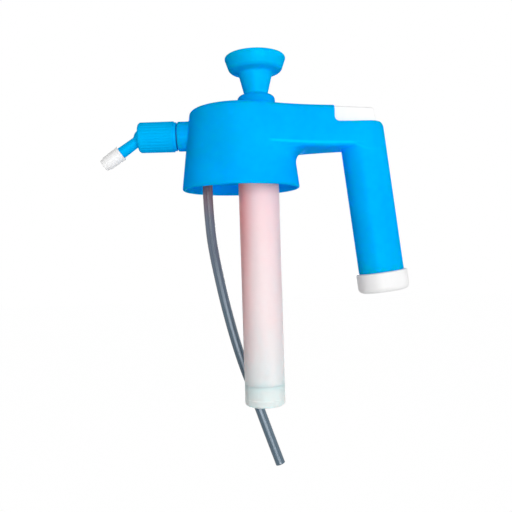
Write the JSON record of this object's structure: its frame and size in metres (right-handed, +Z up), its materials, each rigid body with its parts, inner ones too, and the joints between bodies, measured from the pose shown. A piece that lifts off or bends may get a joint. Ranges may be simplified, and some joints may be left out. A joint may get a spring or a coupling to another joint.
{
  "type": "pressure sprayer pump head",
  "caption": "Pump head of a hand pressure sprayer: screw closure with plunger air pump, pistol grip with thumb lever, spray valve, bent spout and dip tube",
  "frame": {"origin": "centre of the sealing ring's lower face, where the lip of the bottle's neck seats", "axes": "+Z up along the closure's axis; the spout points to -X, the grip is on the +X side"},
  "size_m": [0.2262, 0.0868, 0.3117],
  "materials": {
    "blue_shell": "moulded, smooth, soft gloss",
    "blue_trim": "moulded, smooth, soft gloss",
    "blue_nozzle": "moulded, soft gloss",
    "white_trim": "moulded, smooth",
    "white_tip": "moulded, smooth",
    "white_inner": "moulded, unfinished",
    "grey_inner": "moulded, unfinished",
    "milky_barrel": "natural polypropylene, translucent",
    "milky_foot": "natural polypropylene, translucent",
    "pink_rod": "moulded tube",
    "rubber": "nitrile, matt",
    "spring_steel": "drawn wire",
    "stem_steel": "turned",
    "clear_hose": "clear soft tube"
  },
  "bodies": {
    "head": {"housing": "blue_shell", "deck_plate": "white_inner", "neck_gasket": "rubber", "barrel": "milky_barrel", "barrel_gasket": "rubber", "guide_collar": "blue_trim", "foot_cap": "milky_foot", "foot_retainer": "milky_foot", "check_spring": "spring_steel", "valve_body": "white_inner", "spigot_oring": "rubber", "gland_nut": "white_inner", "stem_oring": "rubber", "valve_spring": "spring_steel", "grip_cap": "white_trim", "spout_washer": "rubber", "dip_tube": "clear_hose"},
    "plunger": {"pump_rod": "pink_rod", "knob": "blue_trim", "piston": "white_inner", "piston_seal": "rubber"},
    "lever": {"thumb_lever": "white_trim"},
    "valve_pull": {"valve_stem": "stem_steel", "valve_disc": "rubber", "pull_yoke": "grey_inner", "stem_clip": "spring_steel"},
    "nut": {"nozzle_nut": "blue_nozzle"},
    "spout": {"nozzle_spout": "blue_nozzle", "tip_oring": "rubber"},
    "tip": {"nozzle_tip": "white_tip", "swirl_core": "grey_inner"},
    "check": {"check_disc": "rubber"}
  },
  "joints": [
    {"name": "pump_stroke", "type": "slide", "parent": "head", "child": "plunger", "axis": [0, 0, 1], "range_m": [0, 0.15]},
    {"name": "lever_press", "type": "hinge", "parent": "head", "child": "lever", "pos_m": [0.092, 0, 0.027], "axis": [0, -1, 0], "range_deg": [0, 13.4], "stiffness_Nm_per_rad": 0.072, "springref_deg": -33.69},
    {"name": "valve_lift", "type": "slide", "parent": "head", "child": "valve_pull", "axis": [1, 0, 0], "range_m": [0, 0.002], "deforming": ["valve_spring"]},
    {"name": "nut_turn", "type": "hinge", "parent": "head", "child": "nut", "pos_m": [-0.06, 0, 0.025], "axis": [1, 0, 0], "continuous": true},
    {"name": "spout_swivel", "type": "hinge", "parent": "head", "child": "spout", "pos_m": [-0.07254, 0, 0.025], "axis": [1, 0, 0], "continuous": true},
    {"name": "tip_turn", "type": "hinge", "parent": "spout", "child": "tip", "pos_m": [-0.07254, 0, 0.025], "axis": [-0.8241, 0, -0.5664], "range_deg": [0, 540]},
    {"name": "check_lift", "type": "slide", "parent": "head", "child": "check", "axis": [0, 0, 1], "range_m": [-0.002, 0], "stiffness_N_per_m": 50, "springref_m": 0.002, "deforming": ["check_spring"]}
  ],
  "couplings": [
    {"joint": "valve_lift", "follows": "lever_press", "m_per_rad": 0.0085}
  ]
}
